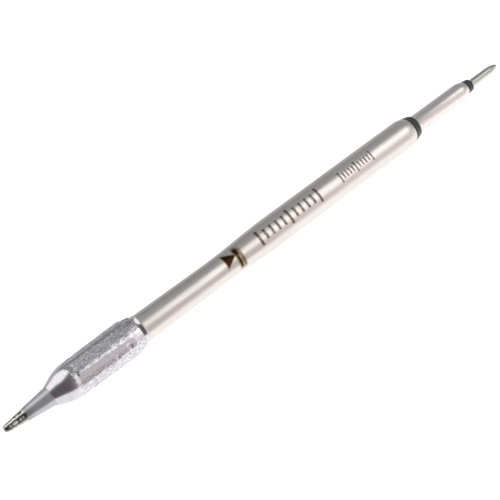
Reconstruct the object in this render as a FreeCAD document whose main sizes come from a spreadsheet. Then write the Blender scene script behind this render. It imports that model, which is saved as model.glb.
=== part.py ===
"""Heater cartridge soldering tip, lying along X with its working end towards -X.

Millimetres. A plated copper bit is crimped over the front of a stainless sheath, which holds a
resistance coil in magnesia. Two coaxial conductors run back through the sheath to a contact tube
and a contact pin, each behind a black insulating ring. The origin is below the middle of the
cartridge, level with the crimped flat that it lies on.
"""

import FreeCAD, Part
import math
import os
import re
import Sketcher

SIZES = {
    # Clearances
    "fit_gap": 0.02,
    "bead_space": 0.3,
    # Working end of the bit, from its rounded nose to the edge of the wettable plating
    "nose_radius": 0.56,
    "nose_round": 0.48,
    "tinned_length": 3.45,
    "tinned_radius": 0.96,
    "plating_ramp": 0.15,
    "plated_radius": 1.03,
    "cone_length": 8.0,
    "cone_radius": 1.56,
    "plating_step": 0.08,
    # Polished flare and band
    "flare_length": 2.5,
    "flare_round": 2.4,
    "barrel_front_radius": 2.87,
    "band_length": 1.25,
    # Crimped barrel with its pressed flats
    "crimp_length": 10.4,
    "barrel_rear_radius": 3.04,
    "flat_count": 8,
    "flat_front": 2.68,
    "flat_rear": 2.95,
    "jaw_ramp": 0.55,
    "jaw_round": 0.9,
    "jaw_reach": 1.0,
    # Rear shoulder and lip of the barrel
    "bevel_length": 0.75,
    "bevel_radius": 2.82,
    "bevel_round": 1.2,
    "shoulder_length": 1.1,
    "shoulder_radius": 2.68,
    "shoulder_round": 0.12,
    "groove_width": 0.08,
    "groove_radius": 2.33,
    "lip_length": 0.74,
    "lip_radius": 2.4,
    "lip_chamfer": 0.08,
    # Socket that takes the sheath
    "socket_depth": 11.2,
    "socket_point": 0.9,
    "socket_chamfer": 0.06,
    # Sheath tube: heated front, stem, taper and sleeve
    "sheath_wall": 0.3,
    "sheath_radius": 2.1,
    "stem_front_radius": 2.32,
    "stem_rear_radius": 2.17,
    "stem_length": 16.2,
    "taper_length": 9.0,
    "taper_round": 80.0,
    "sleeve_radius": 2.6,
    "sleeve_length": 34.2,
    "roll_length": 0.9,
    "roll_radius": 2.27,
    "roll_round": 4.5,
    # Heating end inside the sheath
    "plug_length": 1.2,
    "plug_seat": 0.6,
    "ribbon_width": 0.36,
    "ribbon_thickness": 0.14,
    "coil_radius": 1.28,
    "coil_turns": 12,
    "stopper_length": 1.2,
    "stopper_inset": 0.15,
    "collar_flange": 0.5,
    "collar_radius": 1.15,
    "collar_length": 2.3,
    # Conductors and their insulation
    "rod_radius": 0.32,
    "lead_wall": 0.19,
    "conductor_wall": 0.34,
    "bead_chamfer": 0.25,
    "seal_length": 1.2,
    # Front insulating ring
    "front_ring_length": 1.45,
    "front_ring_radius": 2.33,
    "front_ring_rear": 2.0,
    "ring_chamfer": 0.1,
    "front_spigot": 3.6,
    "neck_length": 1.9,
    # Contact tube
    "contact_length": 13.45,
    "contact_radius": 1.65,
    "contact_collar": 1.87,
    "contact_collar_length": 0.5,
    "contact_shank": 5.0,
    "contact_shank_radius": 1.2,
    "contact_seat": 3.5,
    "contact_floor": 1.3,
    "contact_bore": 1.12,
    "contact_roll": 1.0,
    "contact_roll_radius": 1.3,
    "contact_roll_round": 2.2,
    # Rear insulating ring
    "rear_ring_length": 1.4,
    "rear_ring_radius": 1.29,
    "rear_ring_rear": 1.14,
    # Contact pin
    "pin_length": 7.4,
    "pin_radius": 0.71,
    "pin_collar": 0.93,
    "pin_collar_length": 0.45,
    "pin_shank": 8.1,
    "pin_socket": 3.0,
    "point_length": 1.5,
    "point_radius": 0.26,
    "point_round": 4.0,
    "point_tip": 0.22,
}

document = FreeCAD.newDocument("CartridgeTip")
sheet = document.addObject("Spreadsheet::Sheet", "Sizes")
for row, (name, size) in enumerate(SIZES.items(), start=1):
    sheet.set(f"A{row}", name)
    sheet.set(f"B{row}", str(size))
    sheet.setAlias(f"B{row}", name)
document.recompute()


def bound(expression):
    """The expression with each size name pointing at its cell."""
    return re.sub(r"[a-z]+(_[a-z]+)+", r"Sizes.\g<0>", str(expression))


def measured(expression):
    """The present value of an expression of size names."""
    return float(sheet.evalExpression(bound(expression)))


def total(*terms):
    """One expression that adds its terms."""
    return "(" + " + ".join(terms) + ")"


def less(first, *others):
    """One expression that takes the other terms from the first."""
    return "(" + " - ".join([first, *others]) + ")"


# Places along the axis, counted from the nose
flare_corner = total("cone_length", "flare_length")
crimp_start = total(flare_corner, "band_length")
shoulder_start = total(crimp_start, "crimp_length")
bevel_end = total(shoulder_start, "bevel_length")
shoulder_end = total(bevel_end, "shoulder_length")
lip_start = total(shoulder_end, "groove_width")
barrel_end = total(lip_start, "lip_length")
stem_end = total(barrel_end, "stem_length")
sleeve_start = total(stem_end, "taper_length")
sleeve_end = total(sleeve_start, "sleeve_length")
front_ring_end = total(sleeve_end, "front_ring_length")
contact_end = total(front_ring_end, "contact_length")
rear_ring_end = total(contact_end, "rear_ring_length")
pin_end = total(rear_ring_end, "pin_length")

# Radii and places that the fits share
socket_radius = total("sheath_radius", "fit_gap")
socket_floor = less(barrel_end, "socket_depth")
sheath_front = total(socket_floor, "fit_gap")
sheath_bore = less("sheath_radius", "sheath_wall")
stem_bore = less("stem_rear_radius", "sheath_wall")
sleeve_bore = less("sleeve_radius", "sheath_wall")
plug_end = total(sheath_front, "plug_length")
collar_front = less(barrel_end, "stopper_inset", "stopper_length")
flange_end = total(collar_front, "collar_flange")
collar_end = total(collar_front, "collar_length")
coil_inner = less("coil_radius", "ribbon_thickness / 2")
coil_outer = total("coil_radius", "ribbon_thickness / 2")
lead_bore = total("rod_radius", "fit_gap")
lead_radius = total(lead_bore, "lead_wall")
conductor_bore = total(lead_radius, "fit_gap")
conductor_radius = total(conductor_bore, "conductor_wall")
conductor_seat = total(conductor_radius, "fit_gap")
spigot_front = less(sleeve_end, "front_spigot")
shank_front = less(front_ring_end, "contact_shank")
seat_end = total(shank_front, "contact_seat")
cavity_front = total(front_ring_end, "contact_floor")
pin_front = less(rear_ring_end, "fit_gap", "pin_shank")


def new_body(label):
    """An empty body, placed so that the cartridge is centred over the origin."""
    body = document.addObject("PartDesign::Body", label)
    body.Label = label
    body.setExpression("Placement.Base.x", bound(less("0", pin_end + " / 2")))
    body.setExpression("Placement.Base.z", bound("flat_rear"))
    return body


def origin_feature(body, role):
    """The body's own origin plane or axis with that role."""
    return next(part for part in body.Origin.OriginFeatures if part.Role == role)


def lengthwise_sketch(body, title):
    """A sketch on the body's XZ plane: along the axis, then out from it."""
    sketch = body.newObject("Sketcher::SketchObject", title)
    sketch.AttachmentSupport = [(origin_feature(body, "XZ_Plane"), "")]
    sketch.MapMode = "FlatFace"
    return sketch


def tie(sketch, kind, references, expression):
    """Adds a constraint and binds its value to the sheet."""
    index = sketch.addConstraint(Sketcher.Constraint(kind, *references, measured(expression)))
    if re.search("[a-z]", expression):
        sketch.setExpression(f"Constraints[{index}]", bound(expression))


def pin_down(sketch, geometry, end, corner):
    """Holds a point at a corner's distances along and out."""
    tie(sketch, "DistanceX", (-1, 1, geometry, end), corner[0])
    tie(sketch, "DistanceY", (-1, 1, geometry, end), corner[1])


def rounding(before, corner, after, radius):
    """Start, middle and end of the arc that rounds a corner."""
    back = (before - corner).normalize()
    ahead = (after - corner).normalize()
    half = back.getAngle(ahead) / 2
    reach = radius / math.tan(half)
    bisector = (back + ahead).normalize()
    middle = corner + bisector * (radius / math.sin(half) - radius)
    return corner + back * reach, middle, corner + ahead * reach


def outline(sketch, corners):
    """A closed outline through (along, out) corners; a third term rounds that corner."""
    points = [FreeCAD.Vector(measured(c[0]), measured(c[1]), 0) for c in corners]
    count = len(corners)
    arcs = {}
    for i, corner in enumerate(corners):
        if len(corner) == 3:
            arcs[i] = rounding(points[i - 1], points[i], points[(i + 1) % count], measured(corner[2]))
    for i in range(count):
        after = (i + 1) % count
        start = arcs[i][2] if i in arcs else points[i]
        end = arcs[after][0] if after in arcs else points[after]
        sketch.addGeometry(Part.LineSegment(start, end), False)
    for i, corner in enumerate(corners):
        before = (i - 1) % count
        if i not in arcs:
            sketch.addConstraint(Sketcher.Constraint("Coincident", before, 2, i, 1))
            pin_down(sketch, i, 1, corner)
            continue
        arc = sketch.addGeometry(Part.Arc(*arcs[i]), False)
        starts_first = sketch.getPoint(arc, 1).distanceToPoint(arcs[i][0]) < 1e-6
        first, last = (1, 2) if starts_first else (2, 1)
        sketch.addConstraint(Sketcher.Constraint("Tangent", before, 2, arc, first))
        sketch.addConstraint(Sketcher.Constraint("Tangent", arc, last, i, 1))
        tie(sketch, "Radius", (arc,), corner[2])
        mark = sketch.addGeometry(Part.Point(points[i]), True)
        pin_down(sketch, mark, 1, corner)
        sketch.addConstraint(Sketcher.Constraint("PointOnObject", mark, 1, before))
        sketch.addConstraint(Sketcher.Constraint("PointOnObject", mark, 1, i))


def turned(label, corners):
    """A body turned about the axis from its half section."""
    body = new_body(label)
    sketch = lengthwise_sketch(body, label + "_section")
    outline(sketch, corners)
    turn = body.newObject("PartDesign::Revolution", label + "_turn")
    turn.Profile = sketch
    turn.ReferenceAxis = (origin_feature(body, "X_Axis"), [""])
    turn.Angle = 360
    body.Tip = turn
    return body


def tube(label, front, rear, bore, radius):
    """A plain tube between two places along the axis."""
    turned(label, [(front, bore), (front, radius), (rear, radius), (rear, bore)])


def soldering_bit():
    """Plated copper bit: cone, flare and barrel, with flats pressed round the barrel."""
    mouth_radius = total(socket_radius, "socket_chamfer")
    mouth_start = less(barrel_end, "socket_chamfer")
    body = turned("soldering_bit", [
        ("0", "0"),
        ("0", "nose_radius", "nose_round"),
        ("tinned_length", "tinned_radius"),
        (total("tinned_length", "plating_ramp"), "plated_radius"),
        ("cone_length", "cone_radius"),
        ("cone_length", total("cone_radius", "plating_step")),
        (flare_corner, "barrel_front_radius", "flare_round"),
        (crimp_start, "barrel_front_radius"),
        (shoulder_start, "barrel_rear_radius", "bevel_round"),
        (bevel_end, "bevel_radius"),
        (shoulder_end, "shoulder_radius", "shoulder_round"),
        (shoulder_end, "groove_radius"),
        (lip_start, "groove_radius"),
        (less(barrel_end, "lip_chamfer"), "lip_radius"),
        (barrel_end, less("lip_radius", "lip_chamfer")),
        (barrel_end, mouth_radius),
        (mouth_start, socket_radius),
        (socket_floor, socket_radius),
        (less(socket_floor, "socket_point"), "0"),
    ])
    jaw = lengthwise_sketch(body, "jaw_outline")
    clear_radius = total("barrel_rear_radius", "jaw_reach")
    outline(jaw, [
        (crimp_start, clear_radius),
        (crimp_start, total("barrel_front_radius", "fit_gap")),
        (total(crimp_start, "jaw_ramp"), "flat_front", "jaw_round"),
        (shoulder_start, "flat_rear"),
        (total(barrel_end, "jaw_reach"), "flat_rear"),
        (total(barrel_end, "jaw_reach"), clear_radius),
    ])
    press = body.newObject("PartDesign::Pocket", "jaw_press")
    press.Profile = jaw
    press.Type = "Length"
    press.Midplane = True
    press.setExpression("Length", bound("4 * barrel_rear_radius"))
    around = body.newObject("PartDesign::PolarPattern", "jaws_around")
    around.Originals = [press]
    around.Axis = (origin_feature(body, "X_Axis"), [""])
    around.Angle = 360
    around.setExpression("Occurrences", bound("flat_count"))
    body.Tip = around


def sheath_tube():
    """Stainless sheath: slim in the barrel, tapered stem from a step, wider sleeve, rolled rear."""
    roll_corner = less(sleeve_end, "roll_length")
    step_start = total(barrel_end, "fit_gap")
    turned("sheath_tube", [
        (sheath_front, sheath_bore),
        (sheath_front, "sheath_radius"),
        (step_start, "sheath_radius"),
        (step_start, "stem_front_radius"),
        (stem_end, "stem_rear_radius", "taper_round"),
        (sleeve_start, "sleeve_radius", "taper_round"),
        (roll_corner, "sleeve_radius", "roll_round"),
        (sleeve_end, "roll_radius"),
        (sleeve_end, less("roll_radius", "sheath_wall")),
        (roll_corner, sleeve_bore),
        (sleeve_start, sleeve_bore),
        (stem_end, stem_bore),
        (barrel_end, stem_bore),
        (barrel_end, sheath_bore),
    ])


def heating_end():
    """Plug, coil and magnesia in the front of the sheath, closed by a collar and a stopper."""
    packing_radius = less(sheath_bore, "fit_gap")
    seat_floor = less(plug_end, "plug_seat")
    turned("sheath_end_plug", [
        (sheath_front, "0"),
        (sheath_front, packing_radius),
        (plug_end, packing_radius),
        (plug_end, lead_bore),
        (seat_floor, lead_bore),
        (seat_floor, "0"),
    ])
    packing_front = total(plug_end, "fit_gap")
    packing_rear = less(collar_front, "fit_gap")
    tube("coil_core", packing_front, packing_rear, lead_bore, less(coil_inner, "fit_gap"))
    tube("magnesia_jacket", packing_front, packing_rear, total(coil_outer, "fit_gap"), packing_radius)
    turned("coil_collar", [
        (collar_front, conductor_bore),
        (collar_front, coil_outer),
        (flange_end, coil_outer),
        (flange_end, "collar_radius"),
        (collar_end, "collar_radius"),
        (collar_end, conductor_seat),
        (flange_end, conductor_seat),
        (flange_end, conductor_bore),
    ])
    stopper_end = total(collar_front, "stopper_length")
    tube("rear_stopper", collar_front, stopper_end, total(coil_outer, "fit_gap"), packing_radius)


def heater_coil():
    """Resistance ribbon wound in an open coil from the end plug to the collar."""
    body = new_body("heater_coil")
    ribbon_front = total(plug_end, "fit_gap")
    ribbon_rear = total(ribbon_front, "ribbon_width")
    ribbon = lengthwise_sketch(body, "ribbon_section")
    outline(ribbon, [
        (ribbon_front, coil_inner),
        (ribbon_front, coil_outer),
        (ribbon_rear, coil_outer),
        (ribbon_rear, coil_inner),
    ])
    winding = body.newObject("PartDesign::AdditiveHelix", "winding")
    winding.Profile = ribbon
    winding.ReferenceAxis = (origin_feature(body, "X_Axis"), [""])
    winding.Mode = "height-turns-angle"
    winding.setExpression("Height", bound(less(collar_front, ribbon_rear, "fit_gap")))
    winding.setExpression("Turns", bound("coil_turns"))
    body.Tip = winding


def conductors():
    """Rod to the pin, insulating tube over it, and the conductor tube over both."""
    turned("centre_conductor", [
        (total(less(plug_end, "plug_seat"), "fit_gap"), "0"),
        (total(less(plug_end, "plug_seat"), "fit_gap"), "rod_radius"),
        (less(total(pin_front, "pin_socket"), "fit_gap"), "rod_radius"),
        (less(total(pin_front, "pin_socket"), "fit_gap"), "0"),
    ])
    tube("lead_insulator", collar_front, less(pin_front, "fit_gap"), lead_bore, lead_radius)
    tube("conductor_tube", total(flange_end, "fit_gap"), less(seat_end, "fit_gap"),
         conductor_bore, conductor_radius)


def beads(names, front, rear, radius):
    """Equal ceramic beads on the conductor tube that fill a stretch of the sheath."""
    count = len(names)
    pitch = f"({less(rear, front)} / {count})"
    for i, bead in enumerate(names):
        start = total(front, f"{i} * {pitch}")
        end = less(total(front, f"{i + 1} * {pitch}"), "bead_space")
        turned(bead, [
            (start, conductor_seat),
            (start, less(radius, "bead_chamfer")),
            (total(start, "bead_chamfer"), radius),
            (less(end, "bead_chamfer"), radius),
            (end, less(radius, "bead_chamfer")),
            (end, conductor_seat),
        ])


def sheath_filling():
    """Beads in the stem and the sleeve, and the seal behind the front insulator."""
    seal_end = less(spigot_front, "fit_gap")
    seal_front = less(seal_end, "seal_length")
    taper_turn = f"atan(({less('sleeve_radius', 'stem_rear_radius')}) / taper_length)"
    taper_reach = f"(taper_round * tan({taper_turn} / 2))"
    beads(["stem_bead_front", "stem_bead_rear"],
          total(collar_end, "bead_space"), stem_end, less(stem_bore, "fit_gap"))
    beads(["sleeve_bead_front", "sleeve_bead_middle", "sleeve_bead_rear"],
          total(sleeve_start, taper_reach), seal_front, less(sleeve_bore, "fit_gap"))
    tube("sheath_seal", seal_front, seal_end, conductor_seat, less(sleeve_bore, "fit_gap"))


def front_insulator():
    """Black bush: spigot and neck under the rolled sleeve end, ring outside it."""
    ring_front = total(sleeve_end, "fit_gap")
    neck_radius = less("roll_radius", "sheath_wall", "fit_gap")
    spigot_radius = less(sleeve_bore, "fit_gap")
    bore = total("contact_shank_radius", "fit_gap")
    turned("front_insulator", [
        (spigot_front, bore),
        (spigot_front, spigot_radius),
        (less(sleeve_end, "neck_length"), spigot_radius),
        (ring_front, neck_radius),
        (ring_front, less("front_ring_radius", "ring_chamfer")),
        (total(ring_front, "ring_chamfer"), "front_ring_radius"),
        (front_ring_end, "front_ring_rear"),
        (front_ring_end, bore),
    ])


def contact_tube():
    """Turned contact: shank in the front insulator, collar, plain cylinder, rolled rear edge."""
    main_front = total(front_ring_end, "fit_gap")
    turned("contact_tube", [
        (shank_front, conductor_seat),
        (shank_front, "contact_shank_radius"),
        (main_front, "contact_shank_radius"),
        (main_front, "contact_collar"),
        (total(main_front, "contact_collar_length"), "contact_radius"),
        (less(contact_end, "contact_roll"), "contact_radius", "contact_roll_round"),
        (contact_end, "contact_roll_radius"),
        (contact_end, "contact_bore"),
        (cavity_front, "contact_bore"),
        (cavity_front, conductor_bore),
        (seat_end, conductor_bore),
        (seat_end, conductor_seat),
    ])


def rear_insulator():
    """Black bush: long spigot in the contact tube, ring outside it, bore for lead and pin."""
    ring_front = total(contact_end, "fit_gap")
    spigot_radius = less("contact_bore", "fit_gap")
    turned("rear_insulator", [
        (total(cavity_front, "fit_gap"), conductor_bore),
        (total(cavity_front, "fit_gap"), spigot_radius),
        (ring_front, spigot_radius),
        (ring_front, less("rear_ring_radius", "ring_chamfer")),
        (total(ring_front, "ring_chamfer"), "rear_ring_radius"),
        (rear_ring_end, "rear_ring_rear"),
        (rear_ring_end, conductor_bore),
    ])


def contact_pin():
    """Turned pin: thin shank with a socket for the rod, collar on the rear ring, rounded point."""
    main_front = total(rear_ring_end, "fit_gap")
    socket_end = total(pin_front, "pin_socket")
    turned("contact_pin", [
        (pin_front, lead_bore),
        (pin_front, lead_radius),
        (main_front, lead_radius),
        (main_front, "pin_collar"),
        (total(main_front, "pin_collar_length"), "pin_radius"),
        (less(pin_end, "point_length"), "pin_radius", "point_round"),
        (pin_end, "point_radius", "point_tip"),
        (pin_end, "0"),
        (socket_end, "0"),
        (socket_end, lead_bore),
    ])


soldering_bit()
sheath_tube()
heating_end()
heater_coil()
conductors()
sheath_filling()
front_insulator()
contact_tube()
rear_insulator()
contact_pin()
document.recompute()

for item in document.Objects:
    if "Invalid" in item.State or "Error" in item.State:
        raise RuntimeError(f"{item.Label} failed: {item.State}")

os.makedirs("parts", exist_ok=True)
bodies = [item for item in document.Objects if item.TypeId == "PartDesign::Body"]
for body in bodies:
    if body.Shape.isNull() or not body.Shape.isValid():
        raise RuntimeError(f"{body.Label} has no valid shape")
for body in bodies:
    body.Shape.exportStep(f"parts/{body.Label}.step")
print(f"{len(bodies)} pieces, {sum(body.Shape.Volume for body in bodies):.1f} mm3")
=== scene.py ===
"""Looks of a heater cartridge soldering tip on a white table, built round its CAD frame."""

import math

import bmesh
import bpy
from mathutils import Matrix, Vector, noise


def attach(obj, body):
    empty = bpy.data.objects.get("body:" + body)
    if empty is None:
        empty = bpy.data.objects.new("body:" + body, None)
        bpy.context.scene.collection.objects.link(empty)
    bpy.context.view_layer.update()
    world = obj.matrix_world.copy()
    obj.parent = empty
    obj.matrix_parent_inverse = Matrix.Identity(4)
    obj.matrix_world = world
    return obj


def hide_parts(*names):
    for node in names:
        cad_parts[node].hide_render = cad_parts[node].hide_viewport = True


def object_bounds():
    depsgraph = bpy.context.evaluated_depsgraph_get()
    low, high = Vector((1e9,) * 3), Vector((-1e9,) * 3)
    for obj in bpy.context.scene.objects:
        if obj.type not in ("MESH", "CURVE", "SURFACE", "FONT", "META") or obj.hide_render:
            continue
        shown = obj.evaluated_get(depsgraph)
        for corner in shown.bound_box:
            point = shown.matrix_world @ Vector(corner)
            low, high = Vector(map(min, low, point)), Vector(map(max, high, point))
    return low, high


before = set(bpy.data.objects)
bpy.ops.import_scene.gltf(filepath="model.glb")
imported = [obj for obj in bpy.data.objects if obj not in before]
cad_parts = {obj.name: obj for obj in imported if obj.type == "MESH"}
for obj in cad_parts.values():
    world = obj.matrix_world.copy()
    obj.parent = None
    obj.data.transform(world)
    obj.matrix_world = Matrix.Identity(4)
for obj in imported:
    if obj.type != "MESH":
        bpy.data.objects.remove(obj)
cad_low, cad_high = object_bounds()


# Magnesia core and jacket
# White magnesia powder, packed hard round the heating coil when the sheath is swaged down.
# It is chalky and slightly grainy.

MM = 0.001


def linear(hex_colour):
    """An sRGB hex colour as linear RGBA."""
    channels = [int(hex_colour[i:i + 2], 16) / 255 for i in (1, 3, 5)]
    return [c / 12.92 if c <= 0.04045 else ((c + 0.055) / 1.055) ** 2.4 for c in channels] + [1.0]


def add_node(owner, kind, settings=None, links=None):
    """One shader node, with its settings and with what feeds its inputs."""
    node = owner.node_tree.nodes.new("ShaderNode" + kind)
    for key, value in (settings or {}).items():
        if isinstance(key, str) and hasattr(node, key):
            setattr(node, key, value)
        else:
            node.inputs[key].default_value = value
    for key, source in (links or {}).items():
        socket = source.outputs[0] if hasattr(source, "outputs") else source
        owner.node_tree.links.new(socket, node.inputs[key])
    return node


def new_finish(name):
    """An empty node material and its Object coordinates."""
    finish = bpy.data.materials.new(name)
    finish.use_nodes = True
    finish.node_tree.nodes.clear()
    return finish, add_node(finish, "TexCoord").outputs["Object"]


def paint_node(name, finish):
    """Gives a CAD node its finish."""
    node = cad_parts[name]
    for slot in node.material_slots:
        slot.material = finish
    if not node.material_slots:
        node.data.materials.append(finish)


# Compacted magnesia: an even, chalky white with powder grains of about 0.15 mm
# (a colour Mix has its two colours on inputs 6 and 7, its share on 0 and its result on output 2)
magnesia, place = new_finish("compacted_magnesia")
grains = add_node(magnesia, "TexNoise", {"Scale": 1 / (0.15 * MM), "Detail": 3.0},
                  {"Vector": place})
chalk = add_node(magnesia, "Mix", {"data_type": "RGBA", 6: linear("#f1eee6"), 7: linear("#d9d4c6")},
                 {0: grains})
powder = add_node(magnesia, "Bump", {"Strength": 0.5, "Distance": 0.02 * MM}, {"Height": grains})
surface = add_node(magnesia, "BsdfPrincipled", {"Roughness": 0.9, "IOR": 1.6},
                   {"Base Color": chalk.outputs[2], "Normal": powder})
add_node(magnesia, "OutputMaterial", links={"Surface": surface})
paint_node("coil_core", magnesia)
paint_node("magnesia_jacket", magnesia)


# Heating coil
# Flat resistance ribbon, an iron, chromium and aluminium alloy, wound in an open coil and
# welded to the end plug in front and to the collar behind.

# Oxidised resistance alloy: dull grey-brown with darker blooms about 0.6 mm across
ribbon_alloy, place = new_finish("oxidised_resistance_alloy")
bloom = add_node(ribbon_alloy, "TexNoise", {"Scale": 1 / (0.6 * MM), "Detail": 4.0},
                 {"Vector": place})
oxide = add_node(ribbon_alloy, "Mix",
                 {"data_type": "RGBA", 6: linear("#857f78"), 7: linear("#4f4843")},
                 {0: bloom})
dullness = add_node(ribbon_alloy, "MapRange", {"To Min": 0.4, "To Max": 0.65}, {"Value": bloom})
surface = add_node(ribbon_alloy, "BsdfPrincipled", {"Metallic": 0.85},
                   {"Base Color": oxide.outputs[2], "Roughness": dullness})
add_node(ribbon_alloy, "OutputMaterial", links={"Surface": surface})
paint_node("heater_coil", ribbon_alloy)


# Nickel fittings and conductors
# The end plug that closes the sheath, the collar behind the coil, the rod to the contact pin
# and the tube round it that leads to the contact tube, all of drawn or turned nickel.

# Drawn nickel: warm silver with lengthwise drawing lines, 0.1 mm apart and 2 mm long
nickel, place = new_finish("drawn_nickel")
lengthwise = add_node(nickel, "Mapping", {"Scale": (0.05, 1.0, 1.0)}, {"Vector": place})
drawing = add_node(nickel, "TexNoise", {"Scale": 1 / (0.1 * MM), "Detail": 2.0},
                   {"Vector": lengthwise})
silver = add_node(nickel, "Mix", {"data_type": "RGBA", 6: linear("#d8d3c6"), 7: linear("#b9b3a6")},
                  {0: drawing})
sheen = add_node(nickel, "MapRange", {"To Min": 0.22, "To Max": 0.38}, {"Value": drawing})
drawn_lines = add_node(nickel, "Bump", {"Strength": 0.2, "Distance": 0.01 * MM},
                       {"Height": drawing})
surface = add_node(nickel, "BsdfPrincipled", {"Metallic": 1.0},
                   {"Base Color": silver.outputs[2], "Roughness": sheen, "Normal": drawn_lines})
add_node(nickel, "OutputMaterial", links={"Surface": surface})
for fitting in ("sheath_end_plug", "coil_collar", "centre_conductor", "conductor_tube"):
    paint_node(fitting, nickel)


# Ceramic stopper and beads
# Pressed and fired steatite: a stopper that holds the magnesia in, and five chamfered beads
# threaded on the conductor tube that keep it central in the sheath.

# Unglazed steatite: ivory with faint specks of 0.25 mm
steatite, place = new_finish("unglazed_steatite")
specks = add_node(steatite, "TexNoise", {"Scale": 1 / (0.25 * MM), "Detail": 5.0},
                  {"Vector": place})
ivory = add_node(steatite, "Mix", {"data_type": "RGBA", 6: linear("#ece5d3"), 7: linear("#d3c9b1")},
                 {0: specks})
pressed = add_node(steatite, "Bump", {"Strength": 0.25, "Distance": 0.01 * MM}, {"Height": specks})
surface = add_node(steatite, "BsdfPrincipled", {"Roughness": 0.62, "IOR": 1.58},
                   {"Base Color": ivory.outputs[2], "Normal": pressed})
add_node(steatite, "OutputMaterial", links={"Surface": surface})
for bead in ("rear_stopper", "stem_bead_front", "stem_bead_rear",
             "sleeve_bead_front", "sleeve_bead_middle", "sleeve_bead_rear"):
    paint_node(bead, steatite)


# Insulation between the two conductors
# Thin fluoropolymer sleeving that keeps the rod apart from the tube conductor round it. It is
# extruded, cut to length and pushed over the rod.

# Fluoropolymer: milky and waxy, with soft clouding about 1 mm long
fluoropolymer, place = new_finish("fluoropolymer_sleeving")
clouding = add_node(fluoropolymer, "TexNoise", {"Scale": 1 / (1.0 * MM), "Detail": 2.0},
                    {"Vector": place})
milk = add_node(fluoropolymer, "Mix",
                {"data_type": "RGBA", 6: linear("#efeee9"), 7: linear("#dedcd2")},
                {0: clouding})
surface = add_node(fluoropolymer, "BsdfPrincipled", {"Roughness": 0.45, "IOR": 1.38},
                   {"Base Color": milk.outputs[2]})
add_node(fluoropolymer, "OutputMaterial", links={"Surface": surface})
paint_node("lead_insulator", fluoropolymer)


# Seal behind the front insulator
# A plug of high-temperature resin that keeps damp out of the magnesia. It is poured in round
# the conductor tube and cured in place.

# Cured resin: red-brown, a little glossy, with filler grains of 0.2 mm
resin, place = new_finish("cured_sealing_resin")
filler = add_node(resin, "TexNoise", {"Scale": 1 / (0.2 * MM), "Detail": 3.0}, {"Vector": place})
brick = add_node(resin, "Mix", {"data_type": "RGBA", 6: linear("#8a4a33"), 7: linear("#6e3524")},
                 {0: filler})
surface = add_node(resin, "BsdfPrincipled", {"Roughness": 0.4, "IOR": 1.55},
                   {"Base Color": brick.outputs[2]})
add_node(resin, "OutputMaterial", links={"Surface": surface})
paint_node("sheath_seal", resin)


# Sheath
# One stainless tube, drawn and then swaged: a slim front inside the bit's barrel, a stem, a
# long taper and a parallel sleeve whose rear edge is rolled in over the front insulator.
# A laser has burnt a triangle, a ring and two plain scales into the side that faces the user.

# Places along the cartridge are in mm from the tip of the nose, and radii are in mm
CARTRIDGE_LENGTH = round((cad_high[0] - cad_low[0]) / MM, 2)
AXIS_HEIGHT = round((cad_low[2] + cad_high[2]) / 2 / MM, 2)


def ends_of(name):
    """Where a CAD node starts and ends along the cartridge."""
    along = [corner[0] - cad_low[0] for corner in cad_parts[name].bound_box]
    return round(min(along) / MM, 2), round(max(along) / MM, 2)


SHEATH_START, SLEEVE_END = ends_of("sheath_tube")
_, BARREL_END = ends_of("soldering_bit")
STEM_END = 41.02
SLEEVE_START = 50.02
SLEEVE_ROLL = SLEEVE_END - 0.9
SPIGOT_RADIUS, SPIGOT_BORE = 2.1, 1.8
STEM_FRONT_RADIUS, STEM_RADIUS, STEM_BORE = 2.32, 2.17, 1.87
SLEEVE_RADIUS, SLEEVE_BORE, SLEEVE_MOUTH = 2.6, 2.3, 1.97
FIT_GAP = 0.02


def ring_edges(solid, along, out):
    """The edges of the ring at that place along the axis and that radius, in mm."""
    found = []
    for edge in solid.edges:
        if all(abs(v.co.x / MM - along) < 1e-3 and abs(v.co.yz.length / MM - out) < 1e-3
               for v in edge.verts):
            found.append(edge)
    return found


def turn(section, steps=160):
    """A solid turned about X from its half section: (along, out[, reach of its rounding]) in mm."""
    solid = bmesh.new()
    corners = [solid.verts.new((corner[0] * MM, 0, corner[1] * MM)) for corner in section]
    pairs = list(zip(corners, corners[1:]))
    if section[0][1] > 0:
        pairs.append((corners[-1], corners[0]))
    for pair in pairs:
        solid.edges.new(pair)
    bmesh.ops.spin(solid, geom=solid.verts[:] + solid.edges[:], cent=(0, 0, 0), axis=(1, 0, 0),
                   dvec=(0, 0, 0), angle=2 * math.pi, steps=steps, use_merge=True)
    bmesh.ops.remove_doubles(solid, verts=solid.verts, dist=1e-4 * MM)
    bmesh.ops.recalc_face_normals(solid, faces=solid.faces)
    for corner in section:
        if len(corner) == 3:
            bmesh.ops.bevel(solid, geom=ring_edges(solid, corner[0], corner[1]), affect="EDGES",
                            offset=corner[2] * MM, offset_type="OFFSET", segments=8,
                            profile=0.5, material=-1, clamp_overlap=False)
    return solid


def place_piece(solid, name, finishes):
    """The finished solid as a piece on the cartridge's axis, in place of its CAD node.

    It is shaded smooth, and only its edges of more than 24 degrees stay crisp."""
    bmesh.ops.translate(solid, verts=solid.verts,
                        vec=(-CARTRIDGE_LENGTH / 2 * MM, 0, AXIS_HEIGHT * MM))
    mesh = bpy.data.meshes.new(name)
    solid.to_mesh(mesh)
    solid.free()
    mesh.shade_smooth()
    mesh.set_sharp_from_angle(angle=math.radians(24))
    piece = bpy.data.objects.new(name, mesh)
    bpy.context.scene.collection.objects.link(piece)
    for finish in finishes:
        mesh.materials.append(finish)
    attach(piece, "root")
    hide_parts(name)


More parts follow.
